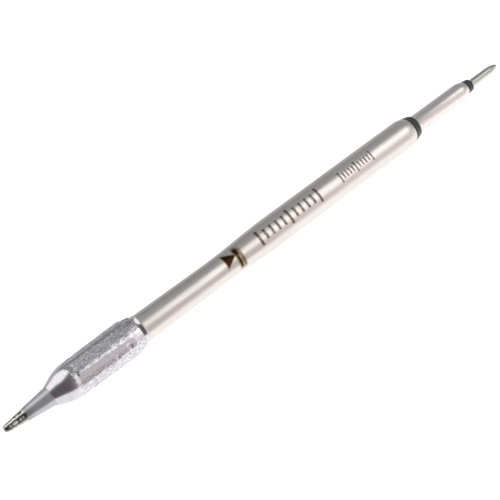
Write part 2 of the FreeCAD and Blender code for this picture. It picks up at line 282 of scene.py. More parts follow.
sheath = turn([
    (SHEATH_START, SPIGOT_BORE),
    (SHEATH_START, SPIGOT_RADIUS),
    (BARREL_END + FIT_GAP, SPIGOT_RADIUS),
    (BARREL_END + FIT_GAP, STEM_FRONT_RADIUS),
    (STEM_END, STEM_RADIUS, 2.28),
    (SLEEVE_START, SLEEVE_RADIUS, 1.91),
    (SLEEVE_ROLL, SLEEVE_RADIUS, 0.8),
    (SLEEVE_END, 2.29, 0.06),
    (SLEEVE_END, SLEEVE_MOUTH),
    (SLEEVE_ROLL, SLEEVE_BORE),
    (SLEEVE_START, SLEEVE_BORE),
    (STEM_END, STEM_BORE),
    (BARREL_END, STEM_BORE),
    (BARREL_END, SPIGOT_BORE),
])

# Satin stainless steel: a soft bright sheen, ground round and round with lines far finer than
# shows, so they are drawn 0.25 mm apart, and faint lengthwise clouding from the drawing die
stainless, place = new_finish("satin_stainless_steel")
ground_way = add_node(stainless, "Mapping", {"Scale": (1.0, 0.06, 0.06)}, {"Vector": place})
ground = add_node(stainless, "TexNoise", {"Scale": 1 / (0.25 * MM), "Detail": 3.0},
                  {"Vector": ground_way})
cloud_way = add_node(stainless, "Mapping", {"Scale": (0.12, 1.0, 1.0)}, {"Vector": place})
clouds = add_node(stainless, "TexNoise", {"Scale": 1 / (0.8 * MM), "Detail": 2.0},
                  {"Vector": cloud_way})
steel = add_node(stainless, "Mix",
                 {"data_type": "RGBA", 6: linear("#dfdad5"), 7: linear("#d1cbc6")}, {0: clouds})


def measured(finish, place):
    """A point in mm from the tip of the nose, how far along it lies, and its degrees round."""
    in_mm = add_node(finish, "Mapping",
                     {"Location": (CARTRIDGE_LENGTH / 2, 0, -AXIS_HEIGHT), "Scale": (1 / MM,) * 3},
                     {"Vector": place})
    axes = add_node(finish, "SeparateXYZ", links={0: in_mm})
    turned_by = add_node(finish, "Math", {"operation": "ARCTAN2"},
                         {0: axes.outputs[1], 1: axes.outputs[2]})
    degrees = add_node(finish, "Math", {"operation": "DEGREES"}, {0: turned_by})
    return in_mm, axes.outputs[0], degrees


def window(owner, value, middle, outer, inner, most=1.0):
    """The most where a value is nearer a middle than the inner distance, 0 past the outer one."""
    off_middle = add_node(owner, "Math", {"operation": "SUBTRACT", 1: middle}, {0: value})
    distance = add_node(owner, "Math", {"operation": "ABSOLUTE"}, {0: off_middle})
    return add_node(owner, "MapRange", {"From Min": outer, "From Max": inner, "To Max": most},
                    {"Value": distance})


_, sheath_along, sheath_round = measured(stainless, place)


def laser_patch(start, end, side, reach, soft_mm=0.07, soft_degrees=2.0):
    """1 inside a stretch of the sheath and 0 outside it, with edges as soft as a laser's."""
    half = (end - start) / 2
    lengthways = window(stainless, sheath_along, (start + end) / 2, half + soft_mm, half - soft_mm)
    around = window(stainless, sheath_round, side, reach + soft_degrees, reach - soft_degrees)
    return add_node(stainless, "Math", {"operation": "MULTIPLY"}, {0: lengthways, 1: around})


# The triangle points to the rear: it narrows from 31 degrees each side to nothing in 2.1 mm
TRIANGLE_BASE = 41.27
TRIANGLE_POINT = 43.45
TRIANGLE_SIDE = -14.5
DEGREES_TO_THE_MM = 14.4
to_point = add_node(stainless, "Math", {"operation": "SUBTRACT", 0: TRIANGLE_POINT},
                    {1: sheath_along})
half_width = add_node(stainless, "Math", {"operation": "MULTIPLY", 1: DEGREES_TO_THE_MM},
                      {0: to_point})
off_triangle = add_node(stainless, "Math", {"operation": "SUBTRACT", 1: TRIANGLE_SIDE},
                        {0: sheath_round})
from_triangle = add_node(stainless, "Math", {"operation": "ABSOLUTE"}, {0: off_triangle})
inside = add_node(stainless, "Math", {"operation": "SUBTRACT"}, {0: half_width, 1: from_triangle})
slanted = add_node(stainless, "MapRange", {"From Min": -2.0, "From Max": 2.0}, {"Value": inside})
behind_base = add_node(stainless, "MapRange",
                       {"From Min": TRIANGLE_BASE, "From Max": TRIANGLE_BASE + 0.13},
                       {"Value": sheath_along})
triangle = add_node(stainless, "Math", {"operation": "MULTIPLY"}, {0: slanted, 1: behind_base})

# Its lowest corner is burnt along the outline alone
upper_part = add_node(stainless, "MapRange", {"From Min": -44.0, "From Max": -34.0},
                      {"Value": sheath_round})
outline = add_node(stainless, "MapRange", {"From Min": 8.0, "From Max": 4.0}, {"Value": inside})
burnt_part = add_node(stainless, "Math", {"operation": "MAXIMUM"}, {0: upper_part, 1: outline})
burnt_triangle = add_node(stainless, "Math", {"operation": "MULTIPLY"},
                          {0: triangle, 1: burnt_part})

# The ring at the triangle's point is one broad line above, and parts in two lines lower down
ring_above = laser_patch(43.36, 44.14, side=-6.0, reach=20.0, soft_mm=0.14, soft_degrees=10.0)
front_line = laser_patch(43.45, 43.85, side=-42.0, reach=36.0, soft_mm=0.12, soft_degrees=8.0)
rear_line = laser_patch(44.18, 44.4, side=-46.0, reach=32.0, soft_mm=0.1, soft_degrees=8.0)
front_ring = add_node(stainless, "Math", {"operation": "MAXIMUM"}, {0: ring_above, 1: front_line})
faint_line = add_node(stainless, "Math", {"operation": "MULTIPLY", 1: 0.7}, {0: rear_line})
ring = add_node(stainless, "Math", {"operation": "MAXIMUM"}, {0: front_ring, 1: faint_line})
burnt = add_node(stainless, "Math", {"operation": "MAXIMUM"}, {0: burnt_triangle, 1: ring})

# Steel that the laser has heated less, beside the burnt places, is straw yellow
straw_slant = add_node(stainless, "MapRange", {"From Min": -9.0, "From Max": 0.0},
                       {"Value": inside})
straw_base = add_node(stainless, "MapRange",
                      {"From Min": TRIANGLE_BASE - 0.22, "From Max": TRIANGLE_BASE + 0.03},
                      {"Value": sheath_along})
straw_triangle = add_node(stainless, "Math", {"operation": "MULTIPLY"},
                          {0: straw_slant, 1: straw_base})
straw_ring = laser_patch(43.2, 44.62, side=-36.0, reach=46.0, soft_mm=0.15, soft_degrees=8.0)
straw = add_node(stainless, "Math", {"operation": "MAXIMUM"}, {0: straw_triangle, 1: straw_ring})


def laser_scale(first, pitch, count, side, short_reach, long_reach, half_stroke):
    """A plain scale of strokes across the sleeve, each fifth one longer."""
    steps_along = add_node(stainless, "MapRange",
                           {"clamp": False, "From Min": first, "From Max": first + pitch},
                           {"Value": sheath_along})
    nearest = add_node(stainless, "Math", {"operation": "ROUND"}, {0: steps_along})
    off_stroke = add_node(stainless, "Math", {"operation": "SUBTRACT"},
                          {0: steps_along, 1: nearest})
    from_stroke = add_node(stainless, "Math", {"operation": "ABSOLUTE"}, {0: off_stroke})
    half_step = half_stroke / pitch
    stroke = add_node(stainless, "MapRange",
                      {"From Min": 1.4 * half_step, "From Max": 0.6 * half_step},
                      {"Value": from_stroke})
    # The number of the stroke, folded back at 2.5, is 0 again at each fifth one
    folded = add_node(stainless, "Math", {"operation": "PINGPONG", 1: 2.5}, {0: nearest})
    is_fifth = add_node(stainless, "Math", {"operation": "LESS_THAN", 1: 0.25}, {0: folded})
    reach = add_node(stainless, "MapRange", {"To Min": short_reach, "To Max": long_reach},
                     {"Value": is_fifth})
    off_side = add_node(stainless, "Math", {"operation": "SUBTRACT", 1: side}, {0: sheath_round})
    from_side = add_node(stainless, "Math", {"operation": "ABSOLUTE"}, {0: off_side})
    within = add_node(stainless, "Math", {"operation": "LESS_THAN"}, {0: from_side, 1: reach})
    on_scale = laser_patch(first - pitch / 2, first + (count - 0.5) * pitch, side, 60.0)
    strokes = add_node(stainless, "Math", {"operation": "MULTIPLY"}, {0: stroke, 1: within})
    return add_node(stainless, "Math", {"operation": "MULTIPLY"}, {0: strokes, 1: on_scale})


large_scale = laser_scale(first=48.4, pitch=1.3, count=11, side=-20.2,
                          short_reach=20.0, long_reach=32.0, half_stroke=0.25)
small_scale = laser_scale(first=66.6, pitch=0.72, count=11, side=-18.8,
                          short_reach=13.0, long_reach=22.0, half_stroke=0.16)
scales = add_node(stainless, "Math", {"operation": "MAXIMUM"}, {0: large_scale, 1: small_scale})

# The strokes are worn in flecks of 0.22 mm
fleck = add_node(stainless, "TexNoise", {"Scale": 1 / (0.22 * MM), "Detail": 3.0},
                 {"Vector": place})
patchy = add_node(stainless, "MapRange", {"From Min": 0.3, "From Max": 0.55, "To Min": 0.45},
                  {"Value": fleck})
etched = add_node(stainless, "Math", {"operation": "MULTIPLY"}, {0: scales, 1: patchy})

tinted = add_node(stainless, "Mix", {"data_type": "RGBA", 7: linear("#a8977a")},
                  {0: straw, 6: steel.outputs[2]})
scaled = add_node(stainless, "Mix", {"data_type": "RGBA", 7: linear("#5f4f44")},
                  {0: etched, 6: tinted.outputs[2]})
marked = add_node(stainless, "Mix", {"data_type": "RGBA", 7: linear("#38241a")},
                  {0: burnt, 6: scaled.outputs[2]})
satin_steel = add_node(stainless, "MapRange", {"To Min": 0.29, "To Max": 0.4}, {"Value": clouds})
ground_lines = add_node(stainless, "Bump", {"Strength": 0.12, "Distance": 0.01 * MM},
                        {"Height": ground})
surface = add_node(stainless, "BsdfPrincipled", {"Metallic": 1.0},
                   {"Base Color": marked.outputs[2], "Roughness": satin_steel,
                    "Normal": ground_lines})
add_node(stainless, "OutputMaterial", links={"Surface": surface})
place_piece(sheath, "sheath_tube", [stainless])


# Soldering bit
# A turned copper bit under iron and chromium plating: a rounded nose wetted with solder, a
# matt cone, a polished flare and band, and a barrel that eight jaws have crimped on the sheath.

SOLDER_END = 3.5
CONE_END = 8.0
FLARE_END = 10.55
CRIMP_START = 11.75
CRIMP_END = 22.15
SHOULDER_START = 22.9
SHOULDER_END = 24.0
LIP_START = 24.16
LIP_TOP = BARREL_END - 0.14
GROOVE_RADIUS = 2.25
SOCKET_BORE = SPIGOT_RADIUS + FIT_GAP
SOCKET_POINT = 12.72

bit = turn([
    (0, 0),
    (0, 0.56, 0.43),  # the rounded nose
    (3.45, 0.96),
    (3.6, 1.03),  # the edge of the solder
    (CONE_END, 1.56),
    (CONE_END, 1.64, 0.03),  # a small step up to the flare
    (FLARE_END, 2.81, 1.18),
    (CRIMP_START, 2.88),
    (CRIMP_END, 3.04, 0.18),
    (SHOULDER_START, 2.82),
    (SHOULDER_END, 2.68, 0.1),
    (SHOULDER_END, 2.34),
    (SHOULDER_END + 0.04, GROOVE_RADIUS),
    (LIP_START, GROOVE_RADIUS),
    (LIP_TOP, 2.48, 0.06),
    (BARREL_END, 2.36),
    (BARREL_END, 2.18),
    (BARREL_END - 0.06, SOCKET_BORE),
    (SHEATH_START - FIT_GAP, SOCKET_BORE),
    (SOCKET_POINT, 0),
], steps=192)


def ring_cuts(solid, start, end, spacing, least_out):
    """Cuts the skin crosswise every so many mm between two places along the axis."""
    count = round((end - start) / spacing)
    for i in range(count + 1):
        skin = [f for f in solid.faces if f.calc_center_median().yz.length > least_out * MM]
        edges = {e for f in skin for e in f.edges}
        verts = {v for f in skin for v in f.verts}
        bmesh.ops.bisect_plane(solid, geom=skin + list(edges) + list(verts), dist=1e-7,
                               plane_co=((start + (end - start) * i / count) * MM, 0, 0),
                               plane_no=(1, 0, 0))


# Points of the barrel farther from the axis than this lie on its outer skin
BARREL_SKIN = 2.5
ring_cuts(bit, start=0.4, end=4.2, spacing=0.06, least_out=0.0)
ring_cuts(bit, start=CRIMP_START, end=SHOULDER_END - 0.15, spacing=0.1, least_out=BARREL_SKIN)

# Eight jaws press the barrel in. Their rounded fronts ease in to the deepest place, and from
# there the flats rise to the height that the cartridge lies at.
JAWS = 8
JAW_EASE = 0.55
FLAT_FRONT, FLAT_DEEPEST, FLAT_REAR = 2.89, 2.74, AXIS_HEIGHT


def jaw_plane(along):
    """How far from the axis the pressed flats lie there, in mm."""
    from_front = along - CRIMP_START
    if from_front < JAW_EASE:
        return FLAT_FRONT - from_front * (FLAT_FRONT - FLAT_DEEPEST) / JAW_EASE
    rise = (FLAT_REAR - FLAT_DEEPEST) / (CRIMP_END - CRIMP_START - JAW_EASE)
    return min(FLAT_REAR, FLAT_DEEPEST + (from_front - JAW_EASE) * rise)


# What stands proud of a jaw's face goes down to it and is left ragged, with lumps about 0.7 mm
# and 0.25 mm long. It is up to twice as ragged by a ridge, where the jaws press little away.
RAGGED_BY = 0.012
PRESSED_BY_RIDGE = 0.05
for vertex in bit.verts:
    along, out = vertex.co.x / MM, vertex.co.yz.length / MM
    if out < BARREL_SKIN or along < CRIMP_START - 0.01 or along > SHOULDER_END + 0.01:
        continue
    round_by = math.atan2(vertex.co.y, vertex.co.z)
    from_flat = (round_by + math.pi / JAWS) % (2 * math.pi / JAWS) - math.pi / JAWS
    allowed = jaw_plane(along) / math.cos(from_flat)
    ragged = noise.noise(vertex.co * 1400) + 0.5 * noise.noise(vertex.co * 3900)
    if allowed < out:
        near_ridge = max(0.0, 1 - (out - allowed) / PRESSED_BY_RIDGE)
        vertex.co.yz *= (allowed + RAGGED_BY * (1 + near_ridge) * ragged) / out
    elif along < CRIMP_END:
        vertex.co.yz *= (out - 0.015 + 0.025 * ragged) / out

# Plain punch dents near the rear of the crimp, and nicks behind its front edge:
# (along, degrees round from the top, radius, depth)
DENTS = ((21.2, -49, 0.46, 0.08), (18.8, -57, 0.36, 0.07),
         (12.58, -22, 0.2, 0.13), (12.4, 8, 0.16, 0.06))
DENT_WALL = 0.12
for dent_along, dent_degrees, radius, depth in DENTS:
    for vertex in bit.verts:
        out = vertex.co.yz.length / MM
        if out < BARREL_SKIN:
            continue
        round_by = math.radians(dent_degrees) - math.atan2(vertex.co.y, vertex.co.z)
        apart = math.hypot(vertex.co.x / MM - dent_along, round_by * out)
        if apart < radius:
            vertex.co.yz *= (out - depth * min(1.0, (radius - apart) / DENT_WALL)) / out

# Solder clings to the nose in an uneven skin that thins out at its edge, with a row of drops on
# the side that faces the user. The drops are painted bright as highlights, and all but the largest
# keep a share of the flux and painted dark reflection:
# (along, degrees round from the top, half length, half width in degrees, height, share of dark
# kept)
SOLDER_DROPS = ((1.7, -37, 0.5, 16, 0.04, 0.0), (0.92, -36, 0.24, 16, 0.03, 0.5),
                (2.55, -38, 0.24, 14, 0.03, 0.45), (3.02, -38, 0.18, 12, 0.02, 0.55))
SOLDER_EDGE = 0.3
for vertex in bit.verts:
    along, out = vertex.co.x / MM, vertex.co.yz.length / MM
    if out > 0.01 and along < SOLDER_END + SOLDER_EDGE:
        thinning = min(1.0, max(0.0, (SOLDER_END + SOLDER_EDGE - along) / (2 * SOLDER_EDGE)))
        # Lumps about 1.1 mm and 0.45 mm long
        lumps = (noise.noise(vertex.co * 900 + Vector((3.1, 0, 0)))
                 + 0.3 * noise.noise(vertex.co * 2200))
        swell = 0.01 + 0.025 * lumps
        round_by = math.degrees(math.atan2(vertex.co.y, vertex.co.z))
        for drop_along, drop_degrees, half_along, half_degrees, height, dark_share in SOLDER_DROPS:
            spread = math.hypot((along - drop_along) / half_along,
                                (round_by - drop_degrees) / half_degrees)
            swell += height * max(0.0, 1 - spread ** 2)
        vertex.co.yz *= (out + thinning * swell) / out


def off_spot(finish, along, degrees, spot_along, spot_degrees, half_along, half_degrees):
    """How far a point of the skin is from a spot, as a share of the spot's half sizes."""
    unrolled = add_node(finish, "CombineXYZ", links={0: along, 1: degrees})
    from_spot = add_node(finish, "Mapping",
                         {"Location": (-spot_along / half_along, -spot_degrees / half_degrees, 0),
                          "Scale": (1 / half_along, 1 / half_degrees, 1)}, {"Vector": unrolled})
    return add_node(finish, "VectorMath", {"operation": "LENGTH"}, {0: from_spot}).outputs["Value"]


# Solder on iron plating: wet-looking tin with frosted drops painted bright as highlights, dark
# where flux has baked on and where a dark reflection is painted along the side that faces the
# user, and beyond it the matt chromium of the cone, with a blast grain of about 0.15 mm
cone_plating, place = new_finish("tinned_nose_and_matt_chromium_cone")
nose_mm, nose_along, nose_round = measured(cone_plating, place)

# The solder's edge wanders by 0.5 mm in waves 0.77 mm long, and smoke has stained the cone
# for a little over 1 mm behind it
waves = add_node(cone_plating, "TexNoise", {"Scale": 1 / 0.77, "Detail": 3.0},
                 {"Vector": nose_mm})
wandering = add_node(cone_plating, "MapRange", {"To Min": -0.5, "To Max": 0.5}, {"Value": waves})
edge_at = add_node(cone_plating, "Math", {"operation": "ADD"}, {0: nose_along, 1: wandering})
wetted = add_node(cone_plating, "MapRange",
                  {"From Min": SOLDER_END + 0.2, "From Max": SOLDER_END + 0.04},
                  {"Value": edge_at})
stained = add_node(cone_plating, "MapRange",
                   {"From Min": SOLDER_END + 1.4, "From Max": SOLDER_END + 0.1, "To Max": 0.4},
                   {"Value": edge_at})

# A dark reflection is painted along the side that faces the user, with a ragged edge, and flux
# has baked on in patches elsewhere, 0.6 mm long
DARK_REFLECTION_SIDE = -42.0
flux_and_shade_pattern = add_node(cone_plating, "TexNoise", {"Scale": 1 / 0.625, "Detail": 4.0},
                {"Vector": nose_mm})
uneven = add_node(cone_plating, "MapRange", {"To Min": -16.0, "To Max": 16.0}, {"Value": flux_and_shade_pattern})
off_dark_side = add_node(cone_plating, "Math", {"operation": "SUBTRACT", 1: DARK_REFLECTION_SIDE},
                    {0: nose_round})
from_dark_side = add_node(cone_plating, "Math", {"operation": "ABSOLUTE"}, {0: off_dark_side})
dark_side_edge = add_node(cone_plating, "Math", {"operation": "ADD"}, {0: from_dark_side, 1: uneven})
painted_reflection_side = add_node(cone_plating, "MapRange", {"From Min": 37.0, "From Max": 29.0},
                     {"Value": dark_side_edge})
patches = add_node(cone_plating, "MapRange", {"From Min": 0.56, "From Max": 0.64},
                   {"Value": flux_and_shade_pattern})
flux_and_painted_reflection = add_node(cone_plating, "Math", {"operation": "MAXIMUM"}, {0: painted_reflection_side, 1: patches})

# The drops are painted bright as highlights, clear of the flux and painted dark reflection but
# for a share kept on the small ones
flux_and_reflection_left = flux_and_painted_reflection
for drop_along, drop_degrees, half_along, half_degrees, height, dark_share in SOLDER_DROPS:
    drop_spread = off_spot(cone_plating, nose_along, nose_round,
                           drop_along, drop_degrees, half_along, half_degrees)
    off_drop = add_node(cone_plating, "MapRange",
                        {"From Min": 0.75, "From Max": 1.1, "To Min": dark_share},
                        {"Value": drop_spread})
    flux_and_reflection_left = add_node(cone_plating, "Math", {"operation": "MULTIPLY"},
                         {0: flux_and_reflection_left, 1: off_drop})
frosted_drops_painted_bright = add_node(cone_plating, "Math", {"operation": "SUBTRACT"}, {0: flux_and_painted_reflection, 1: flux_and_reflection_left})
# The tin is darkened by the flux patches and by the painted dark reflection
tin_flux_and_reflection = add_node(cone_plating, "Mix",
               {"data_type": "RGBA", 6: linear("#c6c4bf"), 7: linear("#74716a")}, {0: flux_and_reflection_left})
# Painted highlight: a near-white colour on the drops
drops_with_painted_highlight = add_node(cone_plating, "Mix", {"data_type": "RGBA", 7: linear("#f4f3f0")},
                 {0: frosted_drops_painted_bright, 6: tin_flux_and_reflection.outputs[2]})
grain = add_node(cone_plating, "TexNoise", {"Scale": 1 / 0.15, "Detail": 3.0},
                 {"Vector": nose_mm})
chromium = add_node(cone_plating, "Mix",
                    {"data_type": "RGBA", 6: linear("#d2d3d4"), 7: linear("#b3b4b5")}, {0: grain})
smoked = add_node(cone_plating, "Mix", {"data_type": "RGBA", 7: linear("#77766f")},
                  {0: stained, 6: chromium.outputs[2]})
nose_colour = add_node(cone_plating, "Mix", {"data_type": "RGBA"},
                       {0: wetted, 6: smoked.outputs[2], 7: drops_with_painted_highlight.outputs[2]})
film_gloss = add_node(cone_plating, "MapRange", {"To Min": 0.15, "To Max": 0.24},
                      {"Value": flux_and_reflection_left})
frost_gloss = add_node(cone_plating, "Math", {"operation": "MULTIPLY_ADD", 1: 0.32},
                       {0: frosted_drops_painted_bright, 2: film_gloss})
nose_gloss = add_node(cone_plating, "MapRange", {"To Min": 0.38},
                      {"Value": wetted, "To Max": frost_gloss})
blast = add_node(cone_plating, "Bump", {"Strength": 0.25, "Distance": 0.012 * MM},
                 {"Height": grain})
surface = add_node(cone_plating, "BsdfPrincipled", {"Metallic": 1.0},
                   {"Base Color": nose_colour.outputs[2], "Roughness": nose_gloss, "Normal": blast})
add_node(cone_plating, "OutputMaterial", links={"Surface": surface})

# Polished chromium: a near mirror with hair-fine turning lines, drawn 0.2 mm apart
flare_plating, place = new_finish("polished_chromium_flare")
turning_way = add_node(flare_plating, "Mapping", {"Scale": (1.0, 0.05, 0.05)}, {"Vector": place})
turning = add_node(flare_plating, "TexNoise", {"Scale": 1 / (0.2 * MM), "Detail": 2.0},
                   {"Vector": turning_way})
mirror = add_node(flare_plating, "Mix",
                  {"data_type": "RGBA", 6: linear("#dddbdc"), 7: linear("#c9c6c8")}, {0: turning})
polish = add_node(flare_plating, "MapRange", {"To Min": 0.17, "To Max": 0.26}, {"Value": turning})
hair_lines = add_node(flare_plating, "Bump", {"Strength": 0.08, "Distance": 0.01 * MM},
                      {"Height": turning})
surface = add_node(flare_plating, "BsdfPrincipled", {"Metallic": 1.0},
                   {"Base Color": mirror.outputs[2], "Roughness": polish, "Normal": hair_lines})
add_node(flare_plating, "OutputMaterial", links={"Surface": surface})

# Crimped plating: the jaws have crazed and scuffed it, so it is grainy, with bright specks
# of about 0.2 mm and lengthwise scuffs of 0.5 mm, and its cast goes from violet to grey
barrel_plating, place = new_finish("crimped_and_scuffed_plating")
_, barrel_along, barrel_round = measured(barrel_plating, place)
crazing = add_node(barrel_plating, "TexNoise",
                   {"Scale": 1 / (0.2 * MM), "Detail": 4.0, "Roughness": 0.6}, {"Vector": place})
scuff_way = add_node(barrel_plating, "Mapping", {"Scale": (0.45, 1.0, 1.0)}, {"Vector": place})
scuffs = add_node(barrel_plating, "TexNoise", {"Scale": 1 / (0.22 * MM), "Detail": 3.0},
                  {"Vector": scuff_way})
rough_skin = add_node(barrel_plating, "Math", {"operation": "ADD"}, {0: crazing, 1: scuffs})
speckle = add_node(barrel_plating, "MapRange", {"From Min": 0.8, "From Max": 1.2},
                   {"Value": rough_skin})
tint = add_node(barrel_plating, "TexNoise", {"Scale": 1 / (3.0 * MM), "Detail": 1.0},
                {"Vector": place})
tinting = add_node(barrel_plating, "MapRange", {"From Min": 0.4, "From Max": 0.6},
                   {"Value": tint})
cast = add_node(barrel_plating, "Mix",
                {"data_type": "RGBA", 6: linear("#9593a0"), 7: linear("#969895")}, {0: tinting})

# It is painted lighter towards the table, as a reflection of the white top. One flat is painted
# lighter as light falls on it, and a painted highlight runs along it up to its upper ridge.
# Painted reflection of the table: lighter below 63 degrees from the top
painted_table_reflection_mask = add_node(barrel_plating, "MapRange", {"From Min": -63.0, "From Max": -71.6},
                      {"Value": barrel_round})
painted_table_reflection = add_node(barrel_plating, "Mix", {"data_type": "RGBA", 7: linear("#b3b1b4")},
                   {0: painted_table_reflection_mask, 6: cast.outputs[2]})
# Painted light: the flat 44 degrees round on the user's side is lighter
painted_light_flat_mask = window(barrel_plating, barrel_round, middle=-44.0, outer=26.4, inner=19.5)
painted_light_flat = add_node(barrel_plating, "Mix", {"data_type": "RGBA", 7: linear("#b6b4b9")},
                 {0: painted_light_flat_mask, 6: painted_table_reflection.outputs[2]})
# Painted highlight: near white round 36 degrees on the user's side, towards the ridge
painted_ridge_highlight_mask = window(barrel_plating, barrel_round, middle=-36.0, outer=15.5, inner=9.7)
painted_ridge_highlight = add_node(barrel_plating, "Mix", {"data_type": "RGBA", 7: linear("#efecef")},
                        {0: painted_ridge_highlight_mask, 6: painted_light_flat.outputs[2]})
scuffed = add_node(barrel_plating, "Mix", {"data_type": "RGBA", 7: linear("#efecee")},
                   {0: speckle, 6: painted_ridge_highlight.outputs[2]})
cracks = window(barrel_plating, crazing, middle=0.5, outer=0.03, inner=0.008, most=0.5)
crazed = add_node(barrel_plating, "Mix", {"data_type": "RGBA", 7: linear("#77727c")},
                  {0: cracks, 6: scuffed.outputs[2]})
matt = add_node(barrel_plating, "MapRange", {"To Min": 0.44, "To Max": 0.28}, {"Value": speckle})
crust = add_node(barrel_plating, "Bump", {"Strength": 0.4, "Distance": 0.018 * MM},
                 {"Height": rough_skin})

# The larger nick is painted near black
nick_spread = off_spot(barrel_plating, barrel_along, barrel_round, spot_along=12.56,
                       spot_degrees=-27.0, half_along=0.14, half_degrees=5.16)
in_nick = add_node(barrel_plating, "MapRange", {"From Min": 1.1, "From Max": 0.7},
                   {"Value": nick_spread})
nicked = add_node(barrel_plating, "Mix", {"data_type": "RGBA", 7: linear("#2e2826")},
                  {0: in_nick, 6: crazed.outputs[2]})

# The shoulder was drawn in over the sheath, which has left lengthwise creases 0.35 mm apart
crease_way = add_node(barrel_plating, "Mapping", {"Scale": (0.12, 1.0, 1.0)}, {"Vector": place})
creases = add_node(barrel_plating, "TexNoise", {"Scale": 1 / (0.35 * MM), "Detail": 1.0},
                   {"Vector": crease_way})
on_shoulder = add_node(barrel_plating, "MapRange",
                       {"From Min": CRIMP_END - 0.6, "From Max": CRIMP_END + 0.3},
                       {"Value": barrel_along})
creased = add_node(barrel_plating, "Bump", {"Distance": 0.09 * MM},
                   {"Strength": on_shoulder, "Height": creases, "Normal": crust})
surface = add_node(barrel_plating, "BsdfPrincipled", {"Metallic": 1.0},
                   {"Base Color": nicked.outputs[2], "Roughness": matt, "Normal": creased})
add_node(barrel_plating, "OutputMaterial", links={"Surface": surface})

# The groove before the lip is painted near black as shade, with brown flecks of 0.3 mm
painted_groove_shade, place = new_finish("painted_shade_in_groove")
flecks = add_node(painted_groove_shade, "TexNoise", {"Scale": 1 / (0.3 * MM), "Detail": 2.0},
                  {"Vector": place})
groove_black = add_node(painted_groove_shade, "Mix",
                {"data_type": "RGBA", 6: linear("#1f1b1a"), 7: linear("#4a4341")}, {0: flecks})
surface = add_node(painted_groove_shade, "BsdfPrincipled", {"Roughness": 0.45, "IOR": 1.52},
                   {"Base Color": groove_black.outputs[2]})
add_node(painted_groove_shade, "OutputMaterial", links={"Surface": surface})

# Each face gets its finish by where it lies. The lip and the socket are as bright as the flare.
bit_finishes = [cone_plating, flare_plating, barrel_plating, painted_groove_shade]
for face in bit.faces:
    along, out = face.calc_center_median().x / MM, face.calc_center_median().yz.length / MM
    if along < CONE_END + 1e-3:
        finish = cone_plating
    elif CRIMP_START <= along < SHOULDER_END + 1e-3:
        finish = barrel_plating
    # The groove's outer faces take the painted shade
    elif SHOULDER_END <= along < LIP_START and out > GROOVE_RADIUS - 0.05:
        finish = painted_groove_shade
    else:
        finish = flare_plating
    face.material_index = bit_finishes.index(finish)
place_piece(bit, "soldering_bit", bit_finishes)


# Black insulators
# Two bushes moulded in black high-temperature plastic. The front one sits under the rolled
# edge of the sleeve, the small one in the end of the contact tube. Both show as thin rings.

FRONT_BUSH_START, FRONT_RING_END = ends_of("front_insulator")
REAR_BUSH_START, REAR_RING_END = ends_of("rear_insulator")
TUBE_START, TUBE_END = ends_of("contact_tube")
RING_CHAMFER = 0.1
TUBE_SHANK, TUBE_BORE = 1.2, 1.12
PIN_SHANK = 0.53

front_bush = turn([
    (FRONT_BUSH_START, TUBE_SHANK + FIT_GAP),
    (FRONT_BUSH_START, SLEEVE_BORE - FIT_GAP),
    (SLEEVE_ROLL - 1.0, SLEEVE_BORE - FIT_GAP),
    (SLEEVE_END + FIT_GAP, SLEEVE_MOUTH - FIT_GAP),
    (SLEEVE_END + FIT_GAP, 2.23),
    (SLEEVE_END + FIT_GAP + RING_CHAMFER, 2.33, 0.04),
    (FRONT_RING_END, 2.0, 0.06),
    (FRONT_RING_END, TUBE_SHANK + FIT_GAP),
])
rear_bush = turn([
    (REAR_BUSH_START, PIN_SHANK + FIT_GAP),
    (REAR_BUSH_START, TUBE_BORE - FIT_GAP),
    (TUBE_END + FIT_GAP, TUBE_BORE - FIT_GAP),
    (TUBE_END + FIT_GAP, 1.19),
    (TUBE_END + FIT_GAP + RING_CHAMFER, 1.29, 0.04),
    (REAR_RING_END, 1.14, 0.05),
    (REAR_RING_END, PIN_SHANK + FIT_GAP),
], steps=128)

# Moulded black plastic: a dry, even black, greyed where handling has rubbed it, with a mould
# grain of 0.12 mm
black_plastic, place = new_finish("moulded_black_plastic")
rubbing = add_node(black_plastic, "TexNoise", {"Scale": 1 / (0.7 * MM), "Detail": 3.0},
                   {"Vector": place})
black = add_node(black_plastic, "Mix",
                 {"data_type": "RGBA", 6: linear("#2b2b29"), 7: linear("#3d3e3b")}, {0: rubbing})
mould_grain = add_node(black_plastic, "TexNoise", {"Scale": 1 / (0.12 * MM), "Detail": 2.0},
                       {"Vector": place})
moulded = add_node(black_plastic, "Bump", {"Strength": 0.3, "Distance": 0.008 * MM},
                   {"Height": mould_grain})
surface = add_node(black_plastic, "BsdfPrincipled", {"Roughness": 0.42, "IOR": 1.55},
                   {"Base Color": black.outputs[2], "Normal": moulded})
add_node(black_plastic, "OutputMaterial", links={"Surface": surface})
place_piece(front_bush, "front_insulator", [black_plastic])
place_piece(rear_bush, "rear_insulator", [black_plastic])


# Contact tube
# A turned brass tube under satin nickel. Its shank is pressed into the front insulator, a
# small coned collar rests against the ring, and its rear edge is rounded over.

TUBE_COLLAR_END = FRONT_RING_END + FIT_GAP + 0.5
TUBE_RADIUS = 1.65
CONDUCTOR_BORE = 0.91
CONDUCTOR_STOP = 84.17

